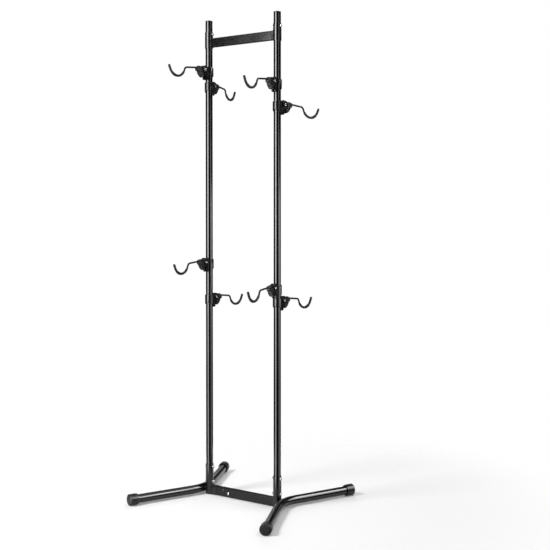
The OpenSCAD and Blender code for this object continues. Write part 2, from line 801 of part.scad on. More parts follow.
// Rubber grip round the cradle, closed over the wire's tip, with its ribs
module grip(i) {
  hole_r = wire_r + thin_gap;
  color(rubber) at_pivot(i) difference() {
    union() {
      bent_bar(cradle_mid, cradle_r, 270 - rubber_start, 270 + outer_slope, rubber_r);
      domed_bar(cradle_end, -outer_slope, tip_len, rubber_r, wire_lap);
      for (k = [0 : rib_count - 1]) {
        a = rib_start + k * rib_pitch;
        translate([cradle_mid[0] + cradle_r * sin(a), 0, cradle_mid[1] - cradle_r * cos(a)])
          rotate([0, 90 - a, 0])
            cylinder(r = rubber_r + rib_h, h = rib_w, center = true);
      }
    }
    bent_bar(cradle_mid, cradle_r, 270 - rubber_start - 4, 270 + outer_slope, hole_r);
    straight_bar(cradle_end, -outer_slope, tip_len, hole_r, wire_lap, thin_gap);
  }
}

pole(left);  // left_pole
pole(right);  // right_pole
pole_caps();
left_socket();
right_socket();
foot(left);  // left_foot
foot(right);  // right_foot
foot_caps();
base_bar();
top_bar();
top_sleeves();
frame_fasteners();
liner(0);  // left_upper_front_liner
clamp(0);  // left_upper_front_clamp
pivot_bolt(0);  // left_upper_front_bolt
hub(0);  // left_upper_front_hub
hook(0);  // left_upper_front_hook
grip(0);  // left_upper_front_grip
liner(1);  // left_upper_back_liner
clamp(1);  // left_upper_back_clamp
pivot_bolt(1);  // left_upper_back_bolt
hub(1);  // left_upper_back_hub
hook(1);  // left_upper_back_hook
grip(1);  // left_upper_back_grip
liner(2);  // right_upper_front_liner
clamp(2);  // right_upper_front_clamp
pivot_bolt(2);  // right_upper_front_bolt
hub(2);  // right_upper_front_hub
hook(2);  // right_upper_front_hook
grip(2);  // right_upper_front_grip
liner(3);  // right_upper_back_liner
clamp(3);  // right_upper_back_clamp
pivot_bolt(3);  // right_upper_back_bolt
hub(3);  // right_upper_back_hub
hook(3);  // right_upper_back_hook
grip(3);  // right_upper_back_grip
liner(4);  // left_lower_front_liner
clamp(4);  // left_lower_front_clamp
pivot_bolt(4);  // left_lower_front_bolt
hub(4);  // left_lower_front_hub
hook(4);  // left_lower_front_hook
grip(4);  // left_lower_front_grip
liner(5);  // left_lower_back_liner
clamp(5);  // left_lower_back_clamp
pivot_bolt(5);  // left_lower_back_bolt
hub(5);  // left_lower_back_hub
hook(5);  // left_lower_back_hook
grip(5);  // left_lower_back_grip
liner(6);  // right_lower_front_liner
clamp(6);  // right_lower_front_clamp
pivot_bolt(6);  // right_lower_front_bolt
hub(6);  // right_lower_front_hub
hook(6);  // right_lower_front_hook
grip(6);  // right_lower_front_grip
liner(7);  // right_lower_back_liner
clamp(7);  // right_lower_back_clamp
pivot_bolt(7);  // right_lower_back_bolt
hub(7);  // right_lower_back_hub
hook(7);  // right_lower_back_hook
grip(7);  // right_lower_back_grip
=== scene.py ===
# %% [markdown]
# # A vertical bike rack, dressed piece by piece
# The real rack is a plain thing: round steel tube, two flat crossbars, and eight
# moulded brackets that carry bent wire hooks. Nearly all of it is black, so what the
# eye reads is not colour but shine: powder coat, nylon, rubber and a few bright bolts.
# This lesson loads the engineered model as a fixed frame and then builds, for each
# piece, the smooth surface and the finish that the real one has.

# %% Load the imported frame
import json
from math import acos, cos, degrees, pi, radians, sin, sqrt, tan

import bmesh
import bpy
import numpy as np
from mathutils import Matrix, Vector


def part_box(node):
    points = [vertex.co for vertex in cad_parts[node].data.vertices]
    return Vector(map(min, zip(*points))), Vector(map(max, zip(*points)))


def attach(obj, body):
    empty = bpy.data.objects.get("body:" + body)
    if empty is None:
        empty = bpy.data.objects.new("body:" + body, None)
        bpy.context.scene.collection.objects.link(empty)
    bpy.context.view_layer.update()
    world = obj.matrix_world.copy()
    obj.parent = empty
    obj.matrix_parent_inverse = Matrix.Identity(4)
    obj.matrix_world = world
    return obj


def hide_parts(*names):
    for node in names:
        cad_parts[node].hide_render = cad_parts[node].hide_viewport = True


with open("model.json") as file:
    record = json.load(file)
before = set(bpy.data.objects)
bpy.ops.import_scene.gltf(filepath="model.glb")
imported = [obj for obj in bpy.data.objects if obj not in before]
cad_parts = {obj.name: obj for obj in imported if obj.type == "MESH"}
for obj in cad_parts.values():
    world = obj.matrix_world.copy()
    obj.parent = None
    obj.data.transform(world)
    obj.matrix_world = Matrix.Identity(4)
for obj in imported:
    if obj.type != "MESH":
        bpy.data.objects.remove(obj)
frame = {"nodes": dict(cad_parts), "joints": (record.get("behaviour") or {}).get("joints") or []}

scene = bpy.context.scene
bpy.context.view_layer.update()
joints = {j["name"]: j for j in frame["joints"]}

# %% [markdown]
# ## The camera comes first
# The photograph was taken almost level, from a long way off, with the camera turned
# 34 degrees to the right of the rack's front. A long lens keeps the two poles nearly
# the same size. A little lens shift, as on a view camera, keeps the poles upright.

# %% Camera at the photograph's angle
PICTURE_PX = 550
LENS_PX = 974.9
HEADING = radians(33.99)
DIP = radians(1.257)
CAMERA_AT = (2.5389, -3.5072, 1.2722)
SENSOR_MM, LENS_SHIFT = 36, -0.07

lens = bpy.data.cameras.new("camera")
lens.sensor_width = SENSOR_MM
lens.lens = SENSOR_MM * LENS_PX / PICTURE_PX
lens.shift_y = LENS_SHIFT
lens.clip_start, lens.clip_end = 0.05, 60
camera = bpy.data.objects.new("camera", lens)
camera.location = CAMERA_AT
camera.rotation_euler = (radians(90) - DIP, 0, HEADING)
scene.collection.objects.link(camera)
scene.camera = camera
scene.view_settings.view_transform = "Standard"
print("camera with a", round(lens.lens, 1), "mm lens")

# %% [markdown]
# ## Surfaces from numbers
# Every new piece here is a grid of points with a row number and a column number: two
# parameters. Numpy works out the whole grid at once, and one helper turns it into
# four-sided faces. Closed shapes are grids whose last column meets the first.


# %% Grids, meshes and outlines
MM = 0.001
WELD_DISTANCE = 1e-6


def grid_faces(rows, cols, wrap_rows=False, wrap_cols=True):
    """Four-sided faces between neighbouring points of a grid, row by row.
    A wrapped side joins its last line of points to its first."""
    i, j = np.meshgrid(np.arange(rows if wrap_rows else rows - 1),
                       np.arange(cols if wrap_cols else cols - 1), indexing="ij")
    i, j = i.ravel(), j.ravel()
    i_next, j_next = (i + 1) % rows, (j + 1) % cols
    return np.stack([i * cols + j, i * cols + j_next, i_next * cols + j_next, i_next * cols + j], -1)


def unit(vector):
    """A vector divided by its own length."""
    vector = np.asarray(vector, float)
    return vector / np.linalg.norm(vector, axis=-1, keepdims=True)


def arc(middle, radius, start, end, count):
    """Points on a circle: middle + radius * (cos a, sin a), for a from start to end in degrees."""
    a = np.radians(np.linspace(start, end, count))
    return np.asarray(middle, float) + radius * np.stack([np.cos(a), np.sin(a)], -1)


def fillet(points, radii, count=6):
    """An outline whose corners are rounded: each corner becomes an arc that touches both of
    its sides, at a distance of radius * tan(half the turn) from the corner."""
    points = np.asarray(points, float)
    radii = np.broadcast_to(radii, len(points))
    befores, afters = np.roll(points, 1, 0), np.roll(points, -1, 0)
    out = []
    for before, corner, after, radius in zip(befores, points, afters, radii):
        a, b = unit(before - corner), unit(after - corner)
        half = acos(np.clip(a @ b, -1, 1)) / 2
        if radius <= 0 or half > radians(89.5):
            out.append(corner[None])
            continue
        middle = corner + unit(a + b) * radius / sin(half)
        first, last = corner + a * radius / tan(half), corner + b * radius / tan(half)
        share = np.linspace(0, 1, count)[:, None]
        out.append(middle + unit((first - middle) * (1 - share) + (last - middle) * share) * radius)
    return np.concatenate(out)


print("a rounded square has", len(fillet([[0, 0], [1, 0], [1, 1], [0, 1]], 0.1)), "points")

# %% [markdown]
# A mesh made of grids has doubled points where a seam closes and at the middle of a
# disc. Merging points that lie together closes them. Then faces are turned outward,
# and only edges with a real corner are kept sharp, so that tubes shade as round.


# %% Turn grids into a piece that rides on a body
def new_piece(name, parts, coat, replaced=(), body="frame", sharp=32):
    """One object from (points, faces) parts. Doubled points are merged and faces turned outward."""
    points = [grid.reshape(-1, 3) for grid, _ in parts]
    starts = np.cumsum([0] + [len(part) for part in points])
    faces = [quads + start for (_, quads), start in zip(parts, starts)]
    mesh = bpy.data.meshes.new(name)
    mesh.from_pydata(np.concatenate(points), [], np.concatenate(faces))
    shape = bmesh.new()
    shape.from_mesh(mesh)
    bmesh.ops.remove_doubles(shape, verts=shape.verts, dist=WELD_DISTANCE)
    bmesh.ops.dissolve_degenerate(shape, edges=shape.edges, dist=WELD_DISTANCE)
    bmesh.ops.recalc_face_normals(shape, faces=shape.faces)
    shape.to_mesh(mesh)
    shape.free()
    dress(name, mesh, coat, replaced, body, sharp)


def dress(name, mesh, coat, replaced, body, sharp):
    """Gives a finished mesh its shading, its body and its material. The coat is a material and the slot
    it fills; only the material is used.
    """
    material, slot = coat
    mesh.polygons.foreach_set("use_smooth", np.ones(len(mesh.polygons), bool))
    mesh.set_sharp_from_angle(angle=radians(sharp))
    mesh.materials.clear()
    mesh.materials.append(material)
    piece = bpy.data.objects.new(name, mesh)
    scene.collection.objects.link(piece)
    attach(piece, body)
    if replaced:
        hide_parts(*replaced)
    return piece


def placed(surface, origin, axes):
    """A surface moved to its place: origin + x * axes[0] + y * axes[1] + z * axes[2]."""
    points, faces = surface
    return np.asarray(origin, float) + points @ np.asarray(axes, float), faces


# %% [markdown]
# ## Turned and swept surfaces
# Two ways of making a surface cover most of the rack. A lathe turns a profile round an
# axis: poles, caps, bolts. A sweep carries a circle along a path: feet, hooks, grips,
# weld beads.


# %% Lathe and sweep
UPRIGHT = np.eye(3)


def rings(radius, a, heights):
    """A grid of points on circles: (radius * cos a, radius * sin a, height), a row to a height."""
    radius, heights = (np.broadcast_to(v, (len(heights), len(a))) for v in (radius, heights))
    return np.stack([radius * np.cos(a), radius * np.sin(a), heights], -1)


def turned(rows, sides=96, closed=False, key=None):
    """A lathe surface: row k is the circle radius_k * (cos a, sin a) at height_k.
    Where key gives a row's half width across flats, the radius is the least of the circle's and
    the hexagon's, half width / cos(angle to the nearest flat)."""
    rows = np.asarray(rows, float)
    a = np.arange(sides) * 2 * pi / sides
    hexagon = 1 / np.cos((a + pi / 6) % (pi / 3) - pi / 6)
    radius = rows[:, :1]
    if key is not None:
        radius = np.minimum(radius, key[:, None] * hexagon)
    return rings(radius, a, rows[:, 1:]), grid_faces(len(rows), sides, closed)


def swept(path, radius, side, sides, closed=False):
    """A tube: each path point carries a circle in the plane of side and tangent x side.
    The radius may change along the path, and a radius of 0 closes an end."""
    if closed:
        tangent = unit(np.roll(path, -1, 0) - np.roll(path, 1, 0))
    else:
        tangent = unit(np.gradient(path, axis=0))
    side = np.asarray(side, float)
    side = unit(side - (side * tangent).sum(-1, keepdims=True) * tangent)
    over = np.cross(tangent, side)
    a = np.arange(sides) * 2 * pi / sides
    ring = np.cos(a)[None, :, None] * side[:, None] + np.sin(a)[None, :, None] * over[:, None]
    return path[:, None] + radius[:, None, None] * ring, grid_faces(len(path), sides, closed)


def path_length(path):
    """Distance along a path from its start to each of its points."""
    return np.concatenate([[0], np.cumsum(np.linalg.norm(np.diff(path, axis=0), axis=1))])


print("a turned ring of 4 rows has", len(turned(np.ones((4, 2)), closed=True)[1]), "faces")

# %% [markdown]
# ## Finishes as node groups
# Four effects come back in several finishes: a slow mottle that varies shine, the
# orange peel of baked powder coat, the spark-eroded grain of a mould, and the polish
# that handling leaves on edges. Each is one node group, used with its own values.


# %% Build a node group
def node_group(name, label, result):
    """A shader group with a Vector and a float input and one float output, with its sockets."""
    group = bpy.data.node_groups.new(name, "ShaderNodeTree")
    group.interface.new_socket("Vector", in_out="INPUT", socket_type="NodeSocketVector")
    for side, socket in (("INPUT", label), ("OUTPUT", result)):
        group.interface.new_socket(socket, in_out=side, socket_type="NodeSocketFloat")
    return (group, group.nodes.new("NodeGroupInput").outputs,
            group.nodes.new("NodeGroupOutput").inputs[result])


def feed(tree, socket, value):
    """Links a socket to the value where that is a socket too, and else sets it as a constant."""
    if isinstance(value, bpy.types.NodeSocket):
        tree.links.new(value, socket)
    else:
        socket.default_value = value


def add_node(tree, kind, inputs=(), **settings):
    """One node, with its settings and its inputs: each is a constant or another node's socket."""
    node = tree.nodes.new(kind)
    for key, value in settings.items():
        setattr(node, key, value)
    for key, value in dict(inputs).items():
        feed(tree, node.inputs[key], value)
    return node


def maths(tree, operation, *terms):
    """One operation on two or three terms, each a number or a socket."""
    return add_node(tree, "ShaderNodeMath", enumerate(terms), operation=operation).outputs[0]


def ranged(tree, value, start, end, low=0.0, high=1.0, curve="LINEAR"):
    """A number that goes from low to high as the value goes from start to end."""
    inputs = {"Value": value, "From Min": start, "From Max": end, "To Min": low, "To Max": high}
    return add_node(tree, "ShaderNodeMapRange", inputs, interpolation_type=curve).outputs["Result"]


def noise(tree, vector, scale, detail):
    """Noise on a vector, from 0 to 1."""
    inputs = {"Vector": vector, "Scale": scale, "Detail": detail}
    return add_node(tree, "ShaderNodeTexNoise", inputs).outputs["Fac"]


# %% [markdown]
# The mottle is broad noise squeezed into a mask. Orange peel is two sizes of noise
# added together, as low hills. Mould grain is small cells, from Voronoi distance, with
# fine noise on top. Edge polish reads how sharply the surface turns.


# %% Mottle and orange peel
mottle_group, came_in, goes_out = node_group("slow mottle", "Scale", "Mask")
broad = noise(mottle_group, came_in["Vector"], came_in["Scale"], 4.0)
mottle_group.links.new(ranged(mottle_group, broad, 0.35, 0.65, curve="SMOOTHSTEP"), goes_out)

peel_group, came_in, goes_out = node_group("orange peel", "Scale", "Height")
large = noise(peel_group, came_in["Vector"], came_in["Scale"], 1.0)
finer = maths(peel_group, "MULTIPLY", came_in["Scale"], 3.1)
small = noise(peel_group, came_in["Vector"], finer, 1.0)
peel_group.links.new(maths(peel_group, "MULTIPLY_ADD", small, 0.35, large), goes_out)
print("groups:", mottle_group.name, "and", peel_group.name)

# %% Mould grain and edge polish
FLAT = 0.505

grain_group, came_in, goes_out = node_group("mould grain", "Scale", "Height")
cells = add_node(grain_group, "ShaderNodeTexVoronoi",
                 {"Vector": came_in["Vector"], "Scale": came_in["Scale"]}, feature="SMOOTH_F1")
dust = noise(grain_group, came_in["Vector"], came_in["Scale"], 3.0)
bumps = maths(grain_group, "MULTIPLY_ADD", dust, 0.4, cells.outputs["Distance"])
grain_group.links.new(bumps, goes_out)

polish_group, came_in, goes_out = node_group("edge polish", "Reach", "Mask")
turn = add_node(polish_group, "ShaderNodeNewGeometry").outputs["Pointiness"]
edges = ranged(polish_group, turn, FLAT, maths(polish_group, "ADD", came_in["Reach"], FLAT))
broken = noise(polish_group, came_in["Vector"], 160.0, 3.0)
polish_group.links.new(maths(polish_group, "MULTIPLY", edges, broken), goes_out)
print("groups:", grain_group.name, "and", polish_group.name)

# %% [markdown]
# ## From groups to finishes
# A finish is a colour that drifts a little, a roughness that drifts more, and a bump.
# The same builder serves them all: what differs is which relief group is used, how
# deep it is, and the two ends of each drift.


# %% The finish builder
def new_material(name, values):
    """A Principled material with some of its inputs set, and its node tree and its shader."""
    material = bpy.data.materials.new(name)
    material.use_nodes = True
    shader = material.node_tree.nodes["Principled BSDF"]
    for label, value in values.items():
        shader.inputs[label].default_value = value
    return material, material.node_tree, shader


def use_group(tree, group, vector, **values):
    """What a group placed in a material gives, with its own values."""
    return add_node(tree, "ShaderNodeGroup", {"Vector": vector, **values}, node_tree=group).outputs[0]


def blended(tree, mask, low, high):
    """A colour that goes from low to high as the mask goes from 0 to 1."""
    node = add_node(tree, "ShaderNodeMix", {"Factor": mask}, data_type="RGBA")
    for socket, value in zip([s for s in node.inputs if s.type == "RGBA"], (low, high)):
        feed(tree, socket, value)
    return [socket for socket in node.outputs if socket.type == "RGBA"][0]


WORN_EDGE = (0.035, 0.035, 0.038, 1)


def finish(name, slot, dark, light, rough, relief, relief_scale, depth, mottle, polish=0,
           specular=0.5, metallic=0.0):
    """A Principled material with a drifting colour and roughness and a bump from a relief group.
    Where polish gives the reach of the edge polish, edges go toward the worn colour. It is given
    back with the slot it fills."""
    constants = {"Specular IOR Level": specular, "Metallic": metallic}
    material, tree, shader = new_material(name, constants)
    place = tree.nodes.new("ShaderNodeTexCoord").outputs["Object"]
    mask = use_group(tree, mottle_group, place, Scale=mottle)
    colour = blended(tree, mask, (*dark, 1), (*light, 1))
    if polish:
        edge = use_group(tree, polish_group, place, Reach=polish)
        colour = blended(tree, edge, colour, WORN_EDGE)
    tree.links.new(colour, shader.inputs["Base Color"])
    tree.links.new(ranged(tree, mask, 0.0, 1.0, *rough), shader.inputs["Roughness"])
    height = use_group(tree, relief, place, Scale=relief_scale)
    bump = add_node(tree, "ShaderNodeBump", {"Height": height, "Strength": 1.0, "Distance": depth})
    tree.links.new(bump.outputs["Normal"], shader.inputs["Normal"])
    return material, slot


# %% [markdown]
# ## The ten finishes
# Black is never quite zero. Most of these bodies give back about 1 percent of the
# light, and the shine comes from their surface. Gloss coat is on the tubes, satin coat
# on the crossbars, a dull coat on the wires and a thicker one over the welds. The
# collars are polished nylon and the hubs a rougher one, both greyer on their edges.
# Rubber is the dullest, the liners are the palest, and zinc is the only bright metal.

# %% Powder coats and wire coating
gloss_paint = finish(
    "gloss powder coat", "gloss_paint", (0.003, 0.003, 0.0034), (0.006, 0.006, 0.0066),
    (0.09, 0.15), peel_group, 420.0, 0.00003, mottle=9.0)
satin_paint = finish(
    "satin powder coat", "satin_paint", (0.006, 0.006, 0.0065), (0.010, 0.010, 0.0105),
    (0.17, 0.21), peel_group, 900.0, 0.00003, mottle=8.0, specular=0.38)
wire_coat = finish(
    "wire coating", "wire_coating", (0.005, 0.005, 0.0055), (0.009, 0.009, 0.0095),
    (0.45, 0.58), peel_group, 700.0, 0.00004, mottle=40.0, specular=0.18)
weld_paint = finish(
    "coat over weld", "gloss_paint", (0.008, 0.008, 0.009), (0.012, 0.012, 0.013),
    (0.18, 0.30), peel_group, 600.0, 0.00015, mottle=80.0)

# %% Mouldings, rubber and zinc
nylon = finish(
    "moulded nylon", "black_nylon", (0.005, 0.005, 0.0055), (0.009, 0.009, 0.0095),
    (0.36, 0.50), grain_group, 1500.0, 0.00005, mottle=45.0, polish=0.09, specular=0.3)
collar_nylon = finish(
    "polished nylon", "black_nylon", (0.004, 0.004, 0.0045), (0.007, 0.007, 0.0075),
    (0.12, 0.18), peel_group, 700.0, 0.00004, mottle=30.0, polish=0.09, specular=0.38)
cap_plastic = finish(
    "moulded cap plastic", "end_cap_plastic", (0.007, 0.007, 0.0075), (0.012, 0.012, 0.013),
    (0.28, 0.38), grain_group, 1100.0, 0.00006, mottle=35.0, polish=0.10, specular=0.35)
bush_plastic, _ = finish(
    "bush plastic", None, (0.024, 0.024, 0.026), (0.034, 0.034, 0.036),
    (0.30, 0.42), grain_group, 1800.0, 0.00002, mottle=25.0)
grip_rubber = finish(
    "grip rubber", "grip_rubber", (0.007, 0.007, 0.007), (0.012, 0.012, 0.012),
    (0.50, 0.65), grain_group, 1300.0, 0.00008, mottle=60.0, specular=0.25)
bright_zinc = finish(
    "bright zinc", "bright_zinc", (0.36, 0.365, 0.38), (0.48, 0.485, 0.50),
    (0.28, 0.40), peel_group, 1500.0, 0.00002, mottle=180.0, metallic=1.0)
print(len(bpy.data.materials), "materials so far")

# %% [markdown]
# ## The poles
# A pole is a length of drawn tube, open inside, with a tiny round on its cut ends. On a
# lathe it is one closed profile: up the outside, over the rim, and down the inside. Its
# two highlights need a truly round surface, so the circle has 96 sides.

# %% Pole tubes and their caps
pole_low, pole_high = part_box("left_pole")
POLE_R = (pole_high[0] - pole_low[0]) / 2
POLE_X = -(pole_high[0] + pole_low[0]) / 2
POLE_WALL = 1.6 * MM
CUT_EDGE, SEAM = 0.4 * MM, 0.05 * MM
SIDES = {"left": -1, "right": 1}


def tube_profile(outer, inner, low, high, edge=CUT_EDGE):
    """Closed profile of a tube's wall, radius against height, with rounded rims."""
    return fillet([[outer, low], [outer, high], [inner, high], [inner, low]], edge, 4)


def tall_rows(profile, count):
    """Adds rows along the long sides of a profile. Two of them sit close to a side's ends, so the
    rounding of a rim doesn't spread its shading along the whole side."""
    ends = np.roll(profile, -1, 0)
    spans = np.linalg.norm(ends - profile, axis=1)
    near = 0.25 * MM
    shares = [np.concatenate([[0], np.linspace(near / span, 1 - near / span, count)])
              if span > spans.max() / 3 else np.zeros(1) for span in spans]
    return np.concatenate([a + (b - a) * share[:, None] for a, b, share in zip(profile, ends, shares)])


def on_pole(name, side, surface, coat, replaced):
    """A turned surface stood on the axis of the left or the right pole."""
    new_piece(name, [placed(surface, (side * POLE_X, 0, 0), UPRIGHT)], coat, replaced)


profile = tall_rows(tube_profile(POLE_R, POLE_R - POLE_WALL, pole_low[2], pole_high[2]), 24)
for name, side in SIDES.items():
    on_pole(name + "_pole_tube", side, turned(profile, closed=True), gloss_paint, [name + "_pole"])

cap_low, cap_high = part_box("pole_caps")
cap_t = cap_high[2] - pole_high[2]
plug_r = POLE_R - POLE_WALL - SEAM
top, seat, plug_end = cap_high[2], pole_high[2] + SEAM, cap_low[2]
rows = np.array([[0, top], [POLE_R - cap_t * 0.62, top - 0.1 * MM],
                 [POLE_R - cap_t * 0.28, top - cap_t * 0.16], [POLE_R - 0.1 * MM, top - cap_t * 0.5],
                 [POLE_R, top - cap_t * 0.75], [POLE_R, seat], [plug_r, seat],
                 [plug_r, plug_end + 1 * MM], [plug_r - 1 * MM, plug_end], [0, plug_end]])
for name, side in SIDES.items():
    on_pole(name + "_pole_cap", side, turned(rows), cap_plastic, ["pole_caps"])
print("pole radius", round(POLE_R / MM, 2), "mm, poles", round(2 * POLE_X / MM, 1), "mm apart")

# %% [markdown]
# ## Sockets and sleeves
# The base sockets and the top sleeves are the next size of tube, a sliding fit over the
# pole. They are the same lathe profile, shorter and wider. The step where a socket's
# rim stands out past the pole catches a thin line of light, so its edge is rounded.

# %% Socket tubes and sleeve tubes
SLEEVE_WALL, PLAY = 2 * MM, 0.3 * MM
SLEEVE_R = POLE_R + PLAY + SLEEVE_WALL
socket_low, socket_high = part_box("right_socket")
sleeve_low, sleeve_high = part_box("top_sleeves")


def sleeve_tube(name, side, low, high, replaced):
    """A short tube round a pole, between two heights."""
    profile = tall_rows(tube_profile(SLEEVE_R, SLEEVE_R - SLEEVE_WALL, low, high, 0.6 * MM), 6)
    on_pole(name, side, turned(profile, closed=True), gloss_paint, replaced)


for name, side in SIDES.items():
    sleeve_tube(name + "_socket_tube", side, socket_low[2], socket_high[2], [name + "_socket"])
    sleeve_tube(name + "_sleeve_tube", side, sleeve_low[2], sleeve_high[2], ["top_sleeves"])
print("sleeve radius", round(SLEEVE_R / MM, 2), "mm")

# %% [markdown]
# ## The crossbars
# Both crossbars are rectangular tube with rolled corners. The lower one's left end is
# cut round to meet the connector's rounded block, and its right end is coped to fit the
# socket. A prism carries an outline along a straight line, and here each point of the
# outline gets its own two end positions.

# %% Crossbars, connector block and stubs
bar_low, bar_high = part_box("base_bar")
top_low, top_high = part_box("top_bar")
BAR_CORNER = 2.5 * MM
BLOCK_R, BLOCK_LIP = 47 * MM, 1 * MM
INTO_TUBE = 1 * MM


def bar_outline(width, height, middle):
    """A rectangle in y and z with round corners, cut into short sides for coping."""
    y, z = width / 2, height / 2
    outline = fillet([[y, -z], [y, z], [-y, z], [-y, -z]], BAR_CORNER, 6) + [0, middle]
    ends = np.roll(outline, -1, 0)
    steps = np.where(np.linalg.norm(ends - outline, axis=1) > 4 * MM, 16, 1)
    return np.concatenate([a + (b - a) * np.arange(n)[:, None] / n
                           for a, b, n in zip(outline, ends, steps)])


def prism(outline, low, high, rows, middle, level=(False, False)):
    """An outline in y and z carried along x: x = low + (high - low) * share. low and high hold a
    number for each point of the outline, so an end can be coped to fit a round tube. Each end face
    is ruled from its ring to the ring's middle line, where z is middle, or where y = 0 if that end
    is level, so it follows the ring's curve."""
    x = low + (high - low) * np.linspace(0, 1, rows)[:, None]
    y, z = (np.broadcast_to(outline[:, k], x.shape) for k in (0, 1))
    points = np.stack([x, y, z], -1)
    parts = [(points, grid_faces(rows, len(outline)))]
    for ring, is_level in zip(points[[0, -1]], level):
        inner = ring * [1, 0, 1] if is_level else ring * [1, 1, 0] + [0, 0, middle]
        parts.append((np.stack([ring, inner]), grid_faces(2, len(ring))))
    return parts


def round_end(z, middle, radius):
    """Half the length of a horizontal cylinder's chord at height z: sqrt(radius^2 - (z - middle)^2)."""
    return np.sqrt(np.maximum(radius ** 2 - (z - middle) ** 2, 0))


base_mid, top_mid = (bar_low[2] + bar_high[2]) / 2, (top_low[2] + top_high[2]) / 2
bar_h, bar_t = bar_high[2] - bar_low[2], bar_high[1] - bar_low[1]
outline = bar_outline(bar_t, bar_h, base_mid)
left_end = -POLE_X + round_end(outline[:, 1], base_mid, BLOCK_R + SEAM)
right_end = POLE_X - round_end(outline[:, 0], 0, SLEEVE_R + SEAM)
new_piece("lower_crossbar", prism(outline, left_end, right_end, 12, base_mid, (True, False)),
          satin_paint, ["base_bar"])

outline = bar_outline(bar_t + 2 * BLOCK_LIP, bar_h + 2 * BLOCK_LIP, base_mid)
left_end = -POLE_X + round_end(outline[:, 0], 0, SLEEVE_R - INTO_TUBE)
right_end = -POLE_X + round_end(outline[:, 1], base_mid, BLOCK_R)
new_piece("connector_block", prism(outline, left_end, right_end, 6, base_mid, (False, True)),
          gloss_paint, ["left_socket"], sharp=25)

outline = bar_outline(bar_t, bar_h, top_mid)
pole_end = POLE_X - round_end(outline[:, 0], 0, SLEEVE_R - INTO_TUBE)
for name, side in SIDES.items():
    stub = prism(outline, side * pole_end, side * (top_high[0] + SEAM), 3, top_mid)
    new_piece(name + "_stub", stub, gloss_paint, ["top_sleeves"])
print("crossbars", round(bar_h / MM, 1), "by", round(bar_t / MM, 1), "mm")

# %% [markdown]
# ## The upper crossbar and other pieces kept from the model
# Some shapes are already right in the engineered model: the upper crossbar with its
# vent hole, the moulded collars and the toothed hubs. A copy of such a mesh is merged,
# and a fine bevel rounds its sharp edges, because real edges are never razor sharp.


# %% Copy, merge and soften a node
EDGE_TURN, SHADED_SHARP = 35, 40


def softened(node, name, coat, width, body="frame", moved=None):
    """A copy of a node's mesh with its loose triangles merged and its sharp edges bevelled. Where
    moved is given, it takes all the points at once and gives back their new places."""
    mesh = frame["nodes"][node].data.copy()
    mesh.name = name
    shape = bmesh.new()
    shape.from_mesh(mesh)
    bmesh.ops.remove_doubles(shape, verts=shape.verts, dist=2 * WELD_DISTANCE)
    bmesh.ops.dissolve_limit(shape, angle_limit=radians(0.6), verts=shape.verts, edges=shape.edges)
    shape.to_mesh(mesh)
    shape.free()
    if moved is not None:
        points = np.empty(3 * len(mesh.vertices))
        mesh.vertices.foreach_get("co", points)
        mesh.vertices.foreach_set("co", moved(points.reshape(-1, 3)).ravel())
    piece = dress(name, mesh, coat, [node], body, SHADED_SHARP)
    bevel = piece.modifiers.new("softened edges", "BEVEL")
    bevel.width, bevel.segments = width, 2
    bevel.limit_method, bevel.angle_limit = "ANGLE", radians(EDGE_TURN)
    bevel.use_clamp_overlap = bevel.harden_normals = True


softened("top_bar", "upper_crossbar", satin_paint, 0.5 * MM)
print("upper crossbar with its vent hole")

# %% [markdown]
# ## The feet
# Each foot is one tube bent once, so its middle line is a straight, an arc and a
# straight that meet without a kink. A circle carried along that line makes the tube.
# The two ends go into plastic caps, which are turned on the same middle line.

# %% Foot tubes
LEG = radians(24.2)
BEND_R, BEND_MID = 165 * MM, 201.0 * MM
FOOT_R, FOOT_AXIS = 19 * MM, 24.75 * MM
LEG_LEN = 382.63 * MM
CORNER = BEND_MID - BEND_R / cos(LEG)
TANGENT = BEND_R * tan(LEG)


def foot_line(end):
    """A foot's middle line from above, x away from the pole and y to the back: a leg, the bend
    and a leg. Each leg's point is corner + distance * (sin, -cos or cos of the leg's angle)."""
    leg = np.linspace(end, TANGENT, 24)[:-1, None]
    front = [CORNER, 0] + leg * [sin(LEG), -cos(LEG)]
    bend = arc((BEND_MID, 0), BEND_R, 180 + degrees(LEG), 180 - degrees(LEG), 40)
    return np.concatenate([front, bend, (front * [1, -1])[::-1]])


def on_foot(plan, height, side):
    """Points of a plan beside a pole, moved to their side of the rack."""
    plan = np.asarray(plan, float)
    height = np.broadcast_to(height, len(plan))
    return np.stack([side * (POLE_X + plan[:, 0]), plan[:, 1], height], -1)


for name, side in SIDES.items():
    path = on_foot(foot_line(LEG_LEN - 4.05 * MM), FOOT_AXIS, side)
    past_ends = path[[0, -1]] + (path[[0, -1]] - path[[1, -2]]) * 1e-4
    path = np.concatenate([past_ends[:1], path, past_ends[1:]])
    radius = np.full(len(path), FOOT_R)
    radius[[0, -1]] = 0
    new_piece(name + "_foot_tube", [swept(path, radius, (0, 0, 1), 72)], gloss_paint, [name + "_foot"])
print("foot bend of", round(BEND_R / MM), "mm radius, legs", round(degrees(LEG), 1), "degrees")

# %% [markdown]
# ## Foot caps
# A foot cap is a moulded cup with a stepped mouth and a chamfered end. It is turned
# about the leg's line. Its radius is a little more than the leg's height, and the points
# below the floor are lifted to it, which gives the flat that the rack stands on.

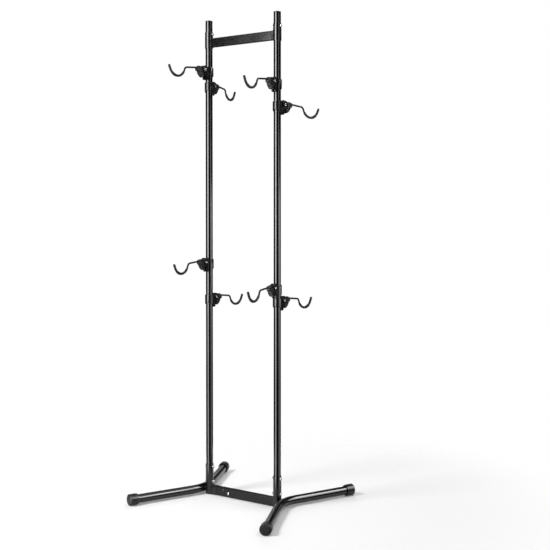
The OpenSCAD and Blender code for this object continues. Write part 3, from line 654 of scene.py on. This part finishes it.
# %% Foot caps
CAP_R, CAP_LEN, MOUTH = 25.05 * MM, 40 * MM, 8 * MM
cap_rows = fillet([[0, 0], [CAP_R - 2.5 * MM, 0], [CAP_R, -2.5 * MM], [CAP_R, MOUTH - CAP_LEN],
                   [CAP_R - 1 * MM, MOUTH - CAP_LEN], [CAP_R - 1 * MM, -CAP_LEN],
                   [FOOT_R + 0.1 * MM, -CAP_LEN], [FOOT_R + 0.1 * MM, -4 * MM], [0, -4 * MM]],
                  np.array([0, 1.2, 1.2, 0.4, 0.3, 0.7, 0.5, 0.5, 0]) * MM, 5)
cap = turned(tall_rows(cap_rows, 6))
for name, side in SIDES.items():
    for place, y in {"front": -1, "back": 1}.items():
        along = np.array([side * sin(LEG), y * cos(LEG), 0])
        across = np.array([-along[1], along[0], 0])
        leg_end = [[CORNER + LEG_LEN * sin(LEG), y * LEG_LEN * cos(LEG)]]
        middle = on_foot(leg_end, FOOT_AXIS, side)[0]
        points, faces = placed(cap, middle, [across, (0, 0, 1), along])
        points[..., 2] = np.maximum(points[..., 2], 0)
        new_piece(f"{name}_{place}_foot_cap", [(points, faces)], cap_plastic, ["foot_caps"])
print("foot caps", round(2 * CAP_R / MM, 1), "mm across")

# %% [markdown]
# ## Weld beads
# The tubes are welded before they are painted, and a weld shows as a low rippled
# ribbon. Its middle line follows the corner between two surfaces, and its radius rises
# and falls with each drop of metal. It is painted with the rest.


# %% Beads at the feet, the crossbar and the sleeves
DROP = 1.7 * MM


def even_loop(line, step):
    """A closed line with points at an even spacing, read off along its length."""
    line = np.concatenate([line, line[:1]])
    along = path_length(line)
    even = np.linspace(0, along[-1], max(int(along[-1] / step), 2) + 1)[:-1]
    return np.stack([np.interp(even, along, line[:, k]) for k in range(line.shape[1])], -1)


def bead(name, line, radius):
    """A closed rippled bead: radius * (0.93 + 0.12 * |sin|, one ripple for each drop of metal, + a
    slow wave of 0.05), with what would dip below the floor lifted to it."""
    line = even_loop(line, 0.45 * MM)
    along = path_length(line)
    waves = max(round(along[-1] / DROP), 3)
    ripple = np.abs(np.sin(pi * waves * along / along[-1]))
    flow = 0.05 * np.sin(7.3 * along / along[-1] * 2 * pi + 1.1)
    points, faces = swept(line, radius * (0.93 + 0.12 * ripple + flow), (1, 0, 0), 14, closed=True)
    points[..., 2] = np.maximum(points[..., 2], 0)
    new_piece(name, [(points, faces)], weld_paint, sharp=60)


def foot_corner(grow):
    """The corner line of socket and foot, each grown a little: the angle round the socket swings
    between its limits, and the height is sqrt(foot radius^2 - distance from its middle line^2)."""
    socket, foot = SLEEVE_R + grow, FOOT_R + grow
    limit = acos((BEND_MID ** 2 + socket ** 2 - (BEND_R + foot) ** 2) / (2 * BEND_MID * socket))
    t = np.linspace(0, 2 * pi, 160, endpoint=False)
    angle = limit * np.cos(t)
    away = np.hypot(BEND_MID - socket * np.cos(angle), socket * np.sin(angle)) - BEND_R
    rise = np.sqrt(np.maximum(foot ** 2 - away ** 2, 0)) * np.sign(np.sin(t))
    return np.stack([socket * np.cos(angle), socket * np.sin(angle)], -1), rise


def bar_weld(name, side, grow, middle, stand_off, radius):
    """A bead round a crossbar's outline, grown a little, where it meets a socket or a sleeve."""
    outline = even_loop(bar_outline(bar_t + grow, bar_h + grow, middle), 0.8 * MM)
    x = side * (POLE_X - round_end(outline[:, 0], 0, SLEEVE_R + stand_off))
    bead(name, np.stack([x, *outline.T], -1), radius)


plan, rise = foot_corner(0.9 * MM)
for name, side in SIDES.items():
    bead(name + "_foot_weld", on_foot(plan, FOOT_AXIS + rise, side), 2.1 * MM)
bar_weld("crossbar_weld", 1, 0.8 * MM, base_mid, 0.6 * MM, 1.3 * MM)
bar_weld("block_weld", -1, 2.2 * MM, base_mid, 0.6 * MM, 1.3 * MM)
for name, side in SIDES.items():
    bar_weld(name + "_stub_weld", side, 0.4 * MM, top_mid, 0.4 * MM, 1.2 * MM)
print("six weld beads")

# %% [markdown]
# ## Bolts and nuts
# A screw is turned metal with a few cuts: a domed head with a hexagon socket, a shank
# and a real thread. On a lathe grid the socket and the nut's flats come from taking the
# smaller of the circle's radius and the hexagon's, so corners are chamfered as on a nut.

# %% Head, nut and thread as grids
BOLT_R, PITCH = 3 * MM, 1 * MM
NUT_FLAT = 5 * MM
NO_FLATS, BEYOND_KEY = 1000, 9


def turned_mm(*rows, closed=False):
    """A lathe surface from rows of (radius, height) in millimetres, or (radius, height, half width
    across flats). Where a row is wholly a hexagon, its radius is beyond the key."""
    table = np.array([list(row) + [NO_FLATS] * (3 - len(row)) for row in rows], float) * MM
    return turned(table[:, :2], 72, closed, table[:, 2])


def dome_head(height=3.6, radius=6.0, key=2.0):
    """A domed head, seat at 0: its top is a circle of twice its radius, with a hexagon socket."""
    a = np.linspace(0, 1, 9)
    rise = height - 2 * radius + np.sqrt((2 * radius) ** 2 - (radius * a) ** 2)
    crown = [(radius * s, h) for s, h in zip(a[::-1], rise[::-1]) if radius * s > key + 0.9]
    mouth = height - 2 * radius + sqrt((2 * radius) ** 2 - (key + 0.7) ** 2)
    return turned_mm((0, 0), (radius - 0.3, 0), (radius, 0.25), *crown, (key + 0.7, mouth),
                     (key + 0.45, mouth - 0.12), (BEYOND_KEY, mouth - 0.5, key),
                     (BEYOND_KEY, 1.3, key), (0, 0.9))


def cap_head(height=5.5, radius=5.0, key=2.5):
    """A cylindrical head, seat at 0, with a rounded rim and a hexagon socket half its height deep."""
    return turned_mm((0, 0), (radius - 0.3, 0), (radius, 0.3), (radius, height - 0.7),
                     (radius - 0.2, height - 0.22), (radius - 0.7, height), (key + 0.75, height),
                     (key + 0.45, height - 0.15), (BEYOND_KEY, height - 0.6, key),
                     (BEYOND_KEY, height / 2, key), (0, height / 2 - 0.4))


def hexagon_nut(height=5.0, hole=2.7, half=5.0):
    """A nut, seat at 0: at both ends a 30 degree cone cuts the corners of the hexagon."""
    cone = half * 0.96
    reach = half / cos(pi / 6) + 0.1
    drop = (reach - cone) * tan(pi / 6)
    cut = [(cone + (reach - cone) * share, drop * share, half) for share in (0, 0.2, 0.4, 0.7, 1)]
    far_cut = [(radius, height - low, flat) for radius, low, flat in cut[::-1]]
    return turned_mm((hole, 0.5), (hole + 0.5, 0), *cut, *far_cut, (hole + 0.5, height),
                     (hole, height - 0.5), closed=True)


def screw_thread(low, high, core=2.46 * MM, depth=0.54 * MM, sides=48):
    """A thread between two heights: radius = core + depth * triangle(height / pitch - turn), which
    is 1 at a crest and 0 at a root, and runs out to the core at the tip."""
    z = np.arange(low, high, PITCH / 8)
    a = np.arange(sides) * 2 * pi / sides
    crest = 1 - np.abs(2 * ((z[:, None] / PITCH - a / (2 * pi)) % 1) - 1)
    fade = np.clip(np.minimum(z - low, high - z)[:, None] / (0.5 * PITCH), 0, 1)
    radius = core + depth * crest * fade
    radius[[0, -1]] = 0
    return rings(radius, a, z[:, None]), grid_faces(len(z), sides)


print("thread rows for 10 mm:", len(screw_thread(0, 10 * MM)[0]))

# %% [markdown]
# Six bolts hold the poles, with their heads on the outer sides and nuts toward the
# middle. Two shorter ones hold the lower crossbar, heads to the front, and the one nearer
# to the pole is painted black. Each bolt is one piece with its thread showing past the
# nut, and all of them replace one node.

# %% Frame bolts and nuts
INTO_HEAD, SHANK_END, THREAD_TOP = 0.3 * MM, 2 * MM, 2.5 * MM


def bolt_axes(outward):
    """Three axes of a bolt whose own z points outward, toward its head."""
    outward = unit(outward)
    side = unit(np.cross(outward, (0, 0, 1) if abs(outward[2]) < 0.9 else (1, 0, 0)))
    return np.stack([side, np.cross(outward, side), outward])


def bolt_and_nut(name, middle, outward, grip, head, past, replaced, nut_turn, coat=bright_zinc,
                 body="frame"):
    """A bolt through a thickness centred on middle: head, shank, nut, and thread past the nut."""
    axes = bolt_axes(outward)
    seat = grip / 2 + SEAM
    above, below = seat + INTO_HEAD, SHANK_END - seat
    shank = turned([[0, above], [BOLT_R, above], [BOLT_R, below], [0, below]], 48)
    thread = screw_thread(-seat - NUT_FLAT - past, THREAD_TOP - seat)
    points, faces = head()
    parts = [(points + [0, 0, seat], faces), shank, thread]
    new_piece(name, [placed(part, middle, axes) for part in parts], coat, replaced, body)
    points, faces = hexagon_nut()
    c, s = cos(nut_turn), sin(nut_turn)
    points = points @ [[c, s, 0], [-s, c, 0], [0, 0, 1]] * [1, 1, -1] - [0, 0, seat]
    new_piece(name + "_nut", [placed((points, faces), middle, axes)], coat, replaced, body)


POLE_BOLTS = {"lower_socket": 59 * MM, "upper_socket": 125.5 * MM, "sleeve": 2087 * MM}
for name, side in SIDES.items():
    for place, z in POLE_BOLTS.items():
        bolt_and_nut(f"{name}_{place}_bolt", (side * POLE_X, 0, z), (side, 0, 0), 2 * SLEEVE_R,
                     dome_head, 4 * MM, ["frame_fasteners"], 0.4 + z + side)
for name, x, z, coat in (("near", -102 * MM, 29 * MM, satin_paint),
                         ("far", -73 * MM, 18 * MM, bright_zinc)):
    bolt_and_nut(name + "_crossbar_bolt", (x, 0, z), (0, -1, 0), bar_t, dome_head, 4 * MM,
                 ["frame_fasteners"], 0.9 + x, coat)
print(len(POLE_BOLTS) * 2 + 2, "bolts in the frame")

# %% [markdown]
# ## The brackets
# All eight brackets are the same moulding, turned and raised to their own places. The
# joints say where: the swivel's position is on the pole's axis and the tilt's is at the
# pivot bolt, so the line from one to the other points out along the hook.

# %% Where each bracket is
BRACKETS = [name[:-5] for name in joints if name.endswith("_tilt")]


def bracket_axes(bracket):
    """Pivot point, and the axes out along the hook, across it and up."""
    pole, pivot = (np.array(joints[bracket + part]["pos_m"], float) for part in ("_swivel", "_tilt"))
    out = unit((pivot - pole) * [1, 1, 0])
    up = np.array([0, 0, 1.0])
    return pivot, np.stack([out, np.cross(up, out), up])


print(len(BRACKETS), "brackets, the first at", np.round(bracket_axes(BRACKETS[0])[0], 3))

# %% [markdown]
# ## Collars and toothed hubs
# Both are softened copies of the model. The nose of the real hub, where the wire goes
# in, ends 13 mm nearer to the pivot than the model's, so the end of each nose is moved
# back. The liners show only as a thin line inside the collars, and keep their shape.


# %% Collars, hubs and liners
FALL, WIRE_RISE = 5.4, 9.3 * MM
SLOPE = tan(radians(FALL))
NOSE_CUT, NOSE_FROM, HOLE_REACH = 13 * MM, 50 * MM, 5 * MM


def short_nose(bracket):
    """Gives what moves the end of a hub's nose: points with x > 50 mm go to x - 13 mm,
    and those round the wire's hole also rise by 13 mm * tan(fall), so it stays on the wire."""
    pivot, axes = bracket_axes(bracket)

    def moved(points):
        local = (points - pivot) @ axes.T
        past = local[:, 0] > NOSE_FROM
        off_wire = np.hypot(local[:, 1], local[:, 2] - WIRE_RISE + SLOPE * local[:, 0])
        hole = past & (off_wire < HOLE_REACH)
        local[past, 0] -= NOSE_CUT
        local[hole, 2] += NOSE_CUT * SLOPE
        return pivot + local @ axes

    return moved


for bracket in BRACKETS:
    softened(bracket + "_clamp", bracket + "_collar", collar_nylon, 0.45 * MM, bracket + "_clamp")
    softened(bracket + "_hub", bracket + "_toothed_hub", nylon, 0.4 * MM, bracket + "_arm",
             short_nose(bracket))
    for place in frame["nodes"][bracket + "_liner"].material_slots:
        place.material = bush_plastic
print("collars and hubs:", 2 * len(BRACKETS))

# %% [markdown]
# ## The pivot bolts
# The pivot bolt has a tall round head with a hexagon socket on one cheek and a nut on
# the other. On three of the brackets it was put in from the other side.

# %% Pivot bolts
CHEEKS = 19 * MM
HEAD_TO_MINUS = {"left_upper_back", "left_lower_back", "right_lower_back"}

for bracket in BRACKETS:
    pivot, axes = bracket_axes(bracket)
    way = -1 if bracket in HEAD_TO_MINUS else 1
    bolt_and_nut(bracket + "_pivot_bolt", pivot, axes[1] * way, CHEEKS, cap_head, 1 * MM,
                 [bracket + "_bolt"], 0.7 * len(bracket), body=bracket + "_clamp")

# %% [markdown]
# ## The hooks
# A hook is one wire, bent twice: a tight bend down and then a wide cradle that a
# bicycle's top tube lies in. Its middle line is straights and arcs in one upright
# plane. The wire is a small circle carried along that line.

# %% The hook's middle line
INNER, OUTER = 70.0, 63.5
WIRE_R, CRADLE_R, WIRE_BEND = 4 * MM, 48 * MM, 16 * MM
WIRE_START, TIP = 15.05 * MM, 14.5 * MM
CRADLE_MID = np.array([166.65, 3.49]) * MM
BEND_OUT = 117.5 * MM
wire_bend_at = np.array([BEND_OUT, WIRE_RISE - SLOPE * BEND_OUT])


def heading(angle):
    """The unit step, out and up, along a line that rises by an angle in degrees."""
    return np.array([cos(radians(angle)), sin(radians(angle))])


def hook_line():
    """Straight, tight arc, straight, cradle arc and straight, each starting where the last ends."""
    trim = WIRE_BEND * tan(radians(INNER - FALL) / 2)
    bend_start = wire_bend_at - trim * heading(-FALL)
    bend_mid = bend_start + WIRE_BEND * heading(-90 - FALL)
    start = bend_start - heading(-FALL) * (bend_start[0] - WIRE_START) / cos(radians(FALL))
    bend = arc(bend_mid, WIRE_BEND, 90 - FALL, 90 - INNER, 24)
    cradle = arc(CRADLE_MID, CRADLE_R, 270 - INNER, 270 + OUTER, 140)
    tip = cradle[-1] + heading(OUTER) * np.linspace(0, TIP, 12)[1:, None]
    return np.concatenate([np.linspace(start, bend_start, 40)[:-1], bend, cradle, tip])


line = hook_line()
along = path_length(line)
cradle_low = along[np.argmin(np.abs(line - (CRADLE_MID - [0, CRADLE_R])).sum(1))]
print("wire length", round(along[-1] / MM, 1), "mm")

# %% [markdown]
# The rubber grip is the same line with a fatter circle whose radius changes: it starts
# square near the wire's inner side, has five raised ribs where a tube bears on it, and
# ends in a dome over the wire's tip.


# %% Radius of the grip along the hook
def read_line(s):
    """Points of the hook's line at distances s, straight on past either end."""
    points = np.stack([np.interp(s, along, line[:, k]) for k in (0, 1)], -1)
    return points + np.maximum(s - along[-1], 0)[:, None] * unit(line[-1] - line[-2])


GRIP_R, RIB_RISE, RIB_HALF = 5.3 * MM, 0.9 * MM, 1 * MM
RAMP = 0.5 * MM


def grip_radius(s, start, end, ribs):
    """The grip's plain radius, plus a ramp up and down at each rib, a rounded start and a domed
    end: near the end the radius is sqrt(plain^2 - (plain - distance left)^2)."""
    radius = np.full(len(s), GRIP_R)
    for middle in ribs:
        radius += RIB_RISE * np.clip((RIB_HALF + RAMP / 2 - np.abs(s - middle)) / RAMP, 0, 1)
    opening = np.clip((s - start) / RAMP, 0, 1)
    radius -= RAMP * (1 - np.sqrt(1 - (1 - opening) ** 2))
    left = np.clip((end - s) / GRIP_R, 0, 1)
    return radius * np.sqrt(1 - (1 - left) ** 2)


grip_start = cradle_low - radians(55) * CRADLE_R
grip_end = along[-1] + GRIP_R
ribs = [cradle_low + radians(12 + 6 * k) * CRADLE_R for k in range(5)]
near_ribs = np.arange(ribs[0] - 2 * MM, ribs[-1] + 2 * MM, 0.2 * MM)
dome = grip_end - GRIP_R * (1 - np.cos(np.linspace(pi / 2, 0, 14)))
lip = grip_start + np.array([0, 0.06, 0.14, 0.25, 0.38, 0.5]) * MM
plain_rows = np.arange(grip_start + 1 * MM, dome[0], 1.2 * MM)
grip_rows = np.unique(np.concatenate([lip, plain_rows, near_ribs, dome]))
grip_r = grip_radius(grip_rows, grip_start, grip_end, ribs)
grip_rows = np.concatenate([grip_rows[:1] - 0.01 * MM, grip_rows])
grip_r = np.concatenate([[0], grip_r])
print("grip rows", len(grip_rows), "of radius", round(grip_r.max() / MM, 2), "mm at the ribs")

# %% Hooks and grips on the brackets
wire_end = along[-1] - 1 * MM
wire_rows = np.concatenate([[0], np.linspace(0.01 * MM, along[-1] - 1.01 * MM, 170), [wire_end]])
wire, rubber = read_line(wire_rows), read_line(grip_rows)
wire_r = np.full(len(wire), WIRE_R)
wire_r[[0, -1]] = 0
for bracket in BRACKETS:
    pivot, axes = bracket_axes(bracket)
    plane = axes[[0, 2]]
    new_piece(bracket + "_wire", [swept(pivot + wire @ plane, wire_r, axes[1], 32)],
              wire_coat, [bracket + "_hook"], bracket + "_arm")
    new_piece(bracket + "_rubber", [swept(pivot + rubber @ plane, grip_r, axes[1], 40)],
              grip_rubber, [bracket + "_grip"], bracket + "_arm")
print("hooks and grips:", 2 * len(BRACKETS))

# %% [markdown]
# ## A room to be reflected
# Glossy black shows only what it reflects. The photograph was made in a dark studio
# over a white floor, so the lamps are kept apart from the reflections: three soft lamps
# and a pale world light the floor and cast the shadows, and none is seen in the gloss.
# Glossy rays see less of the floor: a small white mat, a little off the middle.


# %% World, floor and soft lamps
def staged(name, surface, material, only_gloss=False):
    """A mesh that belongs to the studio and not to the rack."""
    points, faces = surface
    mesh = bpy.data.meshes.new(name)
    mesh.from_pydata(points.reshape(-1, 3), [], faces)
    thing = bpy.data.objects.new(name, mesh)
    mesh.materials.append(material)
    scene.collection.objects.link(thing)
    if only_gloss:
        for ray in ("camera", "diffuse", "shadow", "transmission", "volume_scatter"):
            setattr(thing, "visible_" + ray, False)
    return thing


def seen_light(tree):
    """1 on camera, glossy and transmission rays, and 0 on the rest."""
    rays = tree.nodes.new("ShaderNodeLightPath").outputs
    first = maths(tree, "MAXIMUM", rays["Is Camera Ray"], rays["Is Glossy Ray"])
    return maths(tree, "MAXIMUM", first, rays["Is Transmission Ray"])


WHITE = (1, 1, 1, 1)
NO_SHINE = {"Specular IOR Level": 0.0, "Emission Color": WHITE}
FILL, FLOOR_LIFT = 0.32, 0.12
MAT_SHIFT = (-0.15, 0.25, 0)
FLOOR_FADE, MIRRORED_FADE = (0.7, 1.6), (0.58, 0.80)

world = bpy.data.worlds.new("studio")
scene.world = world
world.use_nodes = True
tree = world.node_tree
backdrop = tree.nodes["Background"]
backdrop.inputs["Color"].default_value = WHITE
tree.links.new(ranged(tree, seen_light(tree), 0.0, 1.0, FILL, 1.0), backdrop.inputs["Strength"])

matte = {"Base Color": (0.82, 0.82, 0.82, 1), "Roughness": 1.0, **NO_SHINE}
floor_paint, tree, shader = new_material("studio floor", matte)
lift = ranged(tree, seen_light(tree), 0.0, 1.0, 0.0, FLOOR_LIFT)
tree.links.new(lift, shader.inputs["Emission Strength"])
glossy = tree.nodes.new("ShaderNodeLightPath").outputs["Is Glossy Ray"]
place = tree.nodes.new("ShaderNodeTexCoord").outputs["Object"]
shift = add_node(tree, "ShaderNodeVectorMath", {0: MAT_SHIFT, "Scale": glossy}, operation="SCALE")
away = add_node(tree, "ShaderNodeVectorMath", {0: place, 1: shift.outputs[0]}, operation="DISTANCE")
near, far = (ranged(tree, glossy, 0.0, 1.0, *ends) for ends in zip(FLOOR_FADE, MIRRORED_FADE))
rim = ranged(tree, away.outputs["Value"], near, far, 1.0, 0.0, "SMOOTHSTEP")
tree.links.new(rim, shader.inputs["Alpha"])
staged("floor", turned([[0, 0], [0.8, 0], [1.4, 0], [2.1, 0]]), floor_paint)


def soft_lamp(name, bearing, rise, distance, size, share):
    """A round lamp aimed at the foot of the rack, strong enough to give the floor a share of white:
    power = share * pi^2 * distance^2 / sin(rise)."""
    lamp = bpy.data.lights.new(name, "AREA")
    lamp.shape, lamp.size = "DISK", size
    bearing, rise = radians(bearing), radians(rise)
    lamp.energy = share * pi ** 2 * distance ** 2 / sin(rise)
    away = Vector((cos(bearing) * cos(rise), sin(bearing) * cos(rise), sin(rise)))
    light = bpy.data.objects.new(name, lamp)
    light.location = away * distance
    light.rotation_euler = away.to_track_quat("Z", "Y").to_euler()
    light.visible_camera = light.visible_glossy = False
    scene.collection.objects.link(light)


soft_lamp("lamp at the left", -118, 46, 4.4, 1.2, 0.50)
soft_lamp("lamp at the right", 30, 60, 4.0, 1.8, 0.18)
soft_lamp("lamp at the back", 120, 20, 4.0, 2.0, 0.12)
print("three soft lamps and a floor")

# %% [markdown]
# The reflections come from a dark tent round the rack and from glowing cards inside it,
# which only glossy rays see. Each card is a piece of a cylinder between two bearings
# and two heights, or leans over the rack. Bearings are in degrees from +x toward +y.
# A lying tube mirrors a card as a stripe at another height than a pole does, so light
# linking keeps some cards off the feet and gives the feet four cards of their own.


# %% Dark tent and glowing cards
GLOW_TOP = 1.3


def card(name, bearings, radius, heights, low, high, state=None, pieces=()):
    """A card between two bearings and two heights, with one radius or a radius for each height. Its
    light goes from low at the floor to high at 1.3 m. With light linking it shines only on the
    pieces (INCLUDE), or on all but them (EXCLUDE)."""
    dark = {"Base Color": (0, 0, 0, 1), **NO_SHINE}
    material, tree, shader = new_material(name + " glow", dark)
    place = tree.nodes.new("ShaderNodeTexCoord").outputs["Object"]
    height = add_node(tree, "ShaderNodeSeparateXYZ", {"Vector": place}).outputs["Z"]
    tree.links.new(ranged(tree, height, 0.0, GLOW_TOP, low, high), shader.inputs["Emission Strength"])
    radius, heights = np.broadcast_to(radius, 2)[:, None], np.array(heights)[:, None]
    a = np.radians(np.linspace(*bearings, 33))
    faces = grid_faces(2, len(a), wrap_cols=False)
    thing = staged(name, (rings(radius, a, heights), faces), material, only_gloss=True)
    if state is None:
        return
    group = bpy.data.collections.new(name + " pieces")
    for piece in pieces:
        group.objects.link(piece)
    for entry in group.collection_objects:
        entry.light_linking.link_state = state
    thing.light_linking.receiver_collection = group


FOOT_PARTS = ("_foot_tube", "_back_foot_cap", "_front_foot_cap")
feet = [bpy.data.objects[name + part] for part in FOOT_PARTS for name in SIDES]
low_feet = feet[:-2]
CARDS = (
    ("tent", (0, 360), 5.0, (-4.0, 7.0), 0.01, 0.01),
    ("left strip card", (-119, -83), 3.0, (-1.6, 3.2), 7.0, 14.0, "EXCLUDE", low_feet),
    ("right wall card", (-18, 33), 4.0, (-2.4, 2.95), 1.2, 4.2, "EXCLUDE", feet),
    ("right strip card", (12, 26), 3.95, (-2.4, 2.9), 3.4, 8.0, "EXCLUDE", feet),
    ("left foot card", (-8, 8), 3.9, (1.9, 4.1), 13.0, 13.0, "INCLUDE", feet),
    ("right foot card", (8, 50), 3.9, (1.5, 4.1), 7.5, 7.5, "INCLUDE", feet),
    ("dim wall card", (33, 80), 4.0, (-2.4, 2.95), 0.08, 0.16),
    ("high card", (6, 44), (4.0, 2.9), (3.2, 4.2), 0.0, 17.0),
    ("back card", (98, 130), 4.0, (1.07, 1.4), 0.6, 0.6, "EXCLUDE", feet),
    ("back sweep card", (112, 160), 4.0, (0.0, 0.63), 0.9, 0.9),
    ("foot edge card", (112, 140), 3.9, (1.15, 2.0), 1.1, 1.1, "INCLUDE", feet),
    ("foot middle card", (86, 100), 3.9, (-0.6, 0.75), 0.45, 0.45, "INCLUDE", feet))
for row in CARDS:
    card(*row)
print(len(CARDS), "cards, the tent among them")
